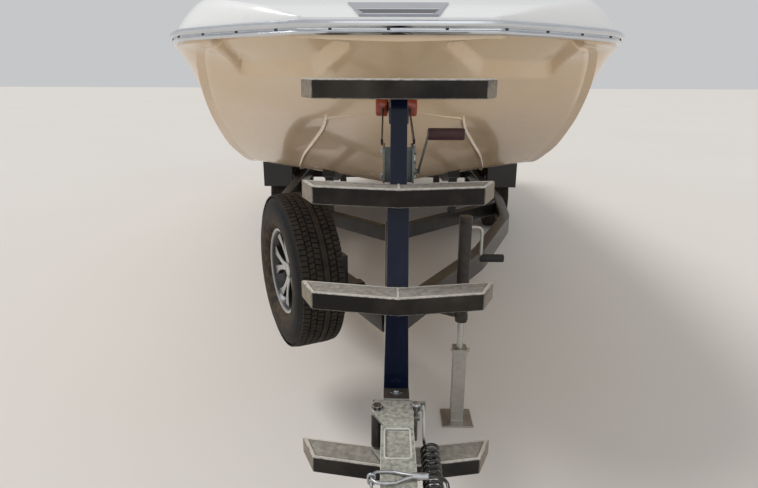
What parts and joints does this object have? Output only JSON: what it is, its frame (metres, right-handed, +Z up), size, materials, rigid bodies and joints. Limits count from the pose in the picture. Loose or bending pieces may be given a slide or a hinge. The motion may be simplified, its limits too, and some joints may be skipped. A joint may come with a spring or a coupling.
{
  "type": "speedboat on a tandem axle trailer",
  "caption": "Open bow speedboat resting on a tandem axle road trailer with winch post, steps, jack and spare wheel.",
  "frame": {"origin": "on the ground, in the middle of the overall length and width", "axes": "+Z up, -Y towards the bow and the coupler, +X to the boat's port side"},
  "size_m": [2.59, 8.4, 2.2316],
  "materials": {
    "cream_gelcoat": "polished cream gelcoat",
    "white_gelcoat": "polished white gelcoat",
    "polished_steel": "polished stainless steel",
    "smoked_gloss": "smoked glossy cover",
    "vinyl": "sewn marine vinyl",
    "anodised_post": "anodised",
    "wheel_rubber": "soft black rubber",
    "anodised_frame": "black anodised",
    "glass": "clear tempered glass",
    "engine_paint": "engine enamel",
    "grey_deck": "grooved foam pad",
    "bronze": "cast bronze",
    "shaft_steel": "ground stainless steel",
    "black_frame": "black powder coat",
    "bunk_carpet": "black bunk carpet",
    "coupler_paint": "worn black enamel",
    "black_gloss": "gloss black with grip tape",
    "navy_post": "gloss dark blue enamel",
    "amber_urethane": "amber urethane",
    "galvanised": "zinc plated",
    "webbing": "woven strap",
    "axle_paint": "satin black",
    "fender_plate": "gloss black with tread plate",
    "tyre": "dusty rubber",
    "alloy": "machined face, black pockets",
    "jack_paint": "black enamel",
    "jack_zinc": "zinc plated",
    "lamp_red": "red lamp lens",
    "cable_sheath": "black sheath"
  },
  "bodies": {
    "root": {"hull": "cream_gelcoat", "deck": "white_gelcoat", "rub_rail": "polished_steel", "nose_plate": "smoked_gloss", "hardware": "polished_steel", "bow_cushions": "vinyl", "lounge_cushions": "vinyl", "driver_seat": "vinyl", "seat_post": "anodised_post", "consoles": "white_gelcoat", "windshield_frame": "anodised_frame", "windshield_glass": "glass", "engine_block": "engine_paint", "swim_platform": "grey_deck", "strut_and_fins": "bronze", "rail_left": "black_frame", "rail_right": "black_frame", "vee_member": "black_frame", "cross_mid": "black_frame", "cross_rear": "black_frame", "bunk_left": "bunk_carpet", "bunk_right": "bunk_carpet", "tongue": "black_frame", "steps": "black_gloss", "step_low": "black_gloss", "winch_post": "navy_post", "bow_stop": "amber_urethane", "winch": "galvanised", "winch_strap": "webbing", "axles": "axle_paint", "fender_left": "fender_plate", "fender_right": "fender_plate", "spare_tyre": "tyre", "spare_rim": "alloy", "spare_carrier": "black_frame", "jack_tube": "jack_paint", "jack_crank": "jack_zinc", "tail_lamps": "lamp_red"},
    "swing": {"swing_tongue": "black_frame", "coupler": "coupler_paint", "cable_lead": "cable_sheath", "cable_coil": "cable_sheath", "cable_hook": "galvanised", "safety_chain": "galvanised"},
    "steering": {"steering_wheel": "wheel_rubber"},
    "screw": {"propeller": "bronze", "prop_shaft": "shaft_steel"},
    "rudder": {"rudder": "bronze"},
    "hatch": {"engine_hatch": "white_gelcoat", "sun_pad": "vinyl"},
    "jack_leg": {"jack_leg": "jack_zinc"},
    "wheel_front_left": {"tyre_front_left": "tyre", "rim_front_left": "alloy"},
    "wheel_front_right": {"tyre_front_right": "tyre", "rim_front_right": "alloy"},
    "wheel_rear_left": {"tyre_rear_left": "tyre", "rim_rear_left": "alloy"},
    "wheel_rear_right": {"tyre_rear_right": "tyre", "rim_rear_right": "alloy"}
  },
  "joints": [
    {"name": "tongue_swing", "type": "hinge", "parent": "root", "child": "swing", "pos_m": [-0.06, -3.745, 0.5765], "axis": [0, 0, 1], "range_deg": [-90, 0]},
    {"name": "steering_turn", "type": "hinge", "parent": "root", "child": "steering", "pos_m": [-0.56, -0.18522, 1.73103], "axis": [0, 0.8829, 0.4695], "range_deg": [-450, 450]},
    {"name": "propeller_turn", "type": "hinge", "parent": "root", "child": "screw", "pos_m": [0, 2.7, 0.42], "axis": [0, 0.9781, -0.2079], "continuous": true},
    {"name": "rudder_turn", "type": "hinge", "parent": "root", "child": "rudder", "pos_m": [0, 3.12, 0.63], "axis": [0, 0, 1], "range_deg": [-35, 35]},
    {"name": "hatch_lift", "type": "hinge", "parent": "root", "child": "hatch", "pos_m": [0, 3.3, 1.8123], "axis": [-1, 0, 0], "range_deg": [0, 65]},
    {"name": "jack_slide", "type": "slide", "parent": "root", "child": "jack_leg", "axis": [0, 0, 1], "range_m": [0, 0.132]},
    {"name": "wheel_front_left_turn", "type": "hinge", "parent": "root", "child": "wheel_front_left", "pos_m": [-1.155, 0.91, 0.359], "axis": [1, 0, 0], "continuous": true},
    {"name": "wheel_front_right_turn", "type": "hinge", "parent": "root", "child": "wheel_front_right", "pos_m": [1.155, 0.91, 0.359], "axis": [1, 0, 0], "continuous": true},
    {"name": "wheel_rear_left_turn", "type": "hinge", "parent": "root", "child": "wheel_rear_left", "pos_m": [-1.155, 1.79, 0.359], "axis": [1, 0, 0], "continuous": true},
    {"name": "wheel_rear_right_turn", "type": "hinge", "parent": "root", "child": "wheel_rear_right", "pos_m": [1.155, 1.79, 0.359], "axis": [1, 0, 0], "continuous": true}
  ]
}
